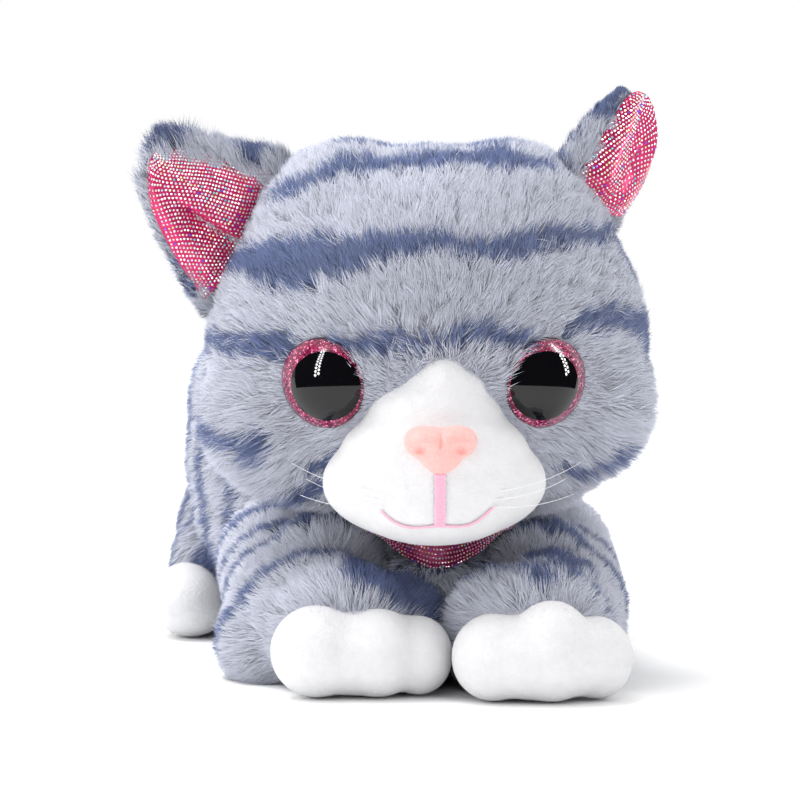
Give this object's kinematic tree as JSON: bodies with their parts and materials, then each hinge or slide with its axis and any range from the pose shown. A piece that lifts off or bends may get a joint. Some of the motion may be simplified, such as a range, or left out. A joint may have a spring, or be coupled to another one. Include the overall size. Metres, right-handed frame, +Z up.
{
  "type": "interactive plush pet",
  "caption": "Lying striped plush kitten with a head that turns and a tail that wags on geared motors, and touch switches under its crown and back.",
  "frame": {"origin": "on the flat belly plate, on the toy's centre line, midway between the head motor and the layshaft", "axes": "+Z up, the face looks towards -Y, +X is the kitten's left side"},
  "size_m": [0.1644, 0.3129, 0.178],
  "materials": {
    "grey_fur": "long pile plush, striped",
    "white_plush": "short pile plush",
    "fibre_fill": "polyester fibre fill",
    "sequin_cloth": "foil dot sequin fabric",
    "nose_flock": "satin pink flock",
    "eye_clear": "clear acrylic dome",
    "eye_black": "glossy black",
    "eye_glitter": "pink glitter film",
    "nylon": "clear nylon bristle",
    "black_abs": "moulded ABS",
    "grey_abs": "moulded ABS",
    "white_acetal": "moulded acetal",
    "board_green": "fibreglass board with solder mask",
    "cell_jacket": "printed cell jacket without lettering",
    "steel": "plated steel",
    "brass": "turned brass"
  },
  "bodies": {
    "torso": {"body_skin": "grey_fur", "body_fill": "fibre_fill", "foreleg_right": "grey_fur", "foreleg_left": "grey_fur", "front_paw_right": "white_plush", "front_paw_left": "white_plush", "haunch_right": "grey_fur", "haunch_left": "grey_fur", "hind_paw_right": "white_plush", "hind_paw_left": "white_plush", "collar": "sequin_cloth", "chassis_base": "grey_abs", "chassis_top": "black_abs", "chassis_screws": "steel", "battery_cells": "cell_jacket", "battery_contacts": "steel", "circuit_board": "board_green", "board_parts": "black_abs", "speaker": "black_abs", "power_switch_body": "steel", "head_motor": "steel", "tail_motor": "steel", "layshaft_pin": "steel", "neck_bush": "brass", "tail_bush": "brass", "back_sensor_base": "white_acetal"},
    "head": {"head_skin": "grey_fur", "head_fill": "fibre_fill", "head_frame": "white_acetal", "neck_shaft": "steel", "neck_gear": "white_acetal", "muzzle": "white_plush", "nose": "nose_flock", "eye_lens_right": "eye_clear", "eye_lens_left": "eye_clear", "eye_cup_right": "eye_black", "eye_cup_left": "eye_black", "eye_pupils": "eye_black", "eye_glitter_rings": "eye_glitter", "eye_washers": "white_acetal", "ear_right": "grey_fur", "ear_left": "grey_fur", "ear_lining_right": "sequin_cloth", "ear_lining_left": "sequin_cloth", "whiskers_right": "nylon", "whiskers_left": "nylon", "head_sensor_base": "white_acetal"},
    "layshaft": {"layshaft_gear": "white_acetal"},
    "head_rotor": {"head_motor_pinion": "brass"},
    "tail": {"tail_arm": "white_acetal", "tail_fill": "fibre_fill", "tail_skin": "grey_fur", "tail_gear": "white_acetal"},
    "tail_rotor": {"tail_motor_pinion": "brass"},
    "battery_hatch": {"battery_door": "grey_abs", "battery_door_screw": "steel"},
    "power_slider": {"power_switch_knob": "black_abs"},
    "back_touch": {"back_sensor_button": "black_abs"},
    "head_touch": {"head_sensor_button": "black_abs"}
  },
  "joints": [
    {"name": "head_turn", "type": "hinge", "parent": "torso", "child": "head", "pos_m": [0, -0.052, 0], "axis": [0, 0, 1], "range_deg": [-19, 31]},
    {"name": "layshaft_spin", "type": "hinge", "parent": "torso", "child": "layshaft", "pos_m": [0, -0.022, 0], "axis": [0, 0, 1], "range_deg": [-126, 78]},
    {"name": "head_motor_spin", "type": "hinge", "parent": "torso", "child": "head_rotor", "pos_m": [0, 0.008, 0], "axis": [0, 0, 1], "range_deg": [-306, 498]},
    {"name": "tail_wag", "type": "hinge", "parent": "torso", "child": "tail", "pos_m": [0, 0, 0.056], "axis": [0, 1, 0], "range_deg": [-35, 35]},
    {"name": "tail_motor_spin", "type": "hinge", "parent": "torso", "child": "tail_rotor", "pos_m": [0, 0, 0.031], "axis": [0, 1, 0], "range_deg": [-142, 142]},
    {"name": "battery_door_lift", "type": "slide", "parent": "torso", "child": "battery_hatch", "axis": [0, 0, -1], "range_m": [0, 0.015]},
    {"name": "power_switch_slide", "type": "slide", "parent": "torso", "child": "power_slider", "axis": [1, 0, 0], "range_m": [0, 0.004]},
    {"name": "back_button_press", "type": "slide", "parent": "torso", "child": "back_touch", "axis": [0, 0, -1], "range_m": [0, 0.0015], "stiffness_N_per_m": 250, "springref_m": -0.001},
    {"name": "head_button_press", "type": "slide", "parent": "head", "child": "head_touch", "axis": [0, 0, -1], "range_m": [0, 0.0015], "stiffness_N_per_m": 250, "springref_m": -0.001}
  ],
  "couplings": [
    {"joint": "layshaft_spin", "follows": "head_turn", "ratio": -4},
    {"joint": "head_motor_spin", "follows": "head_turn", "ratio": 16},
    {"joint": "tail_motor_spin", "follows": "tail_wag", "ratio": -4}
  ]
}
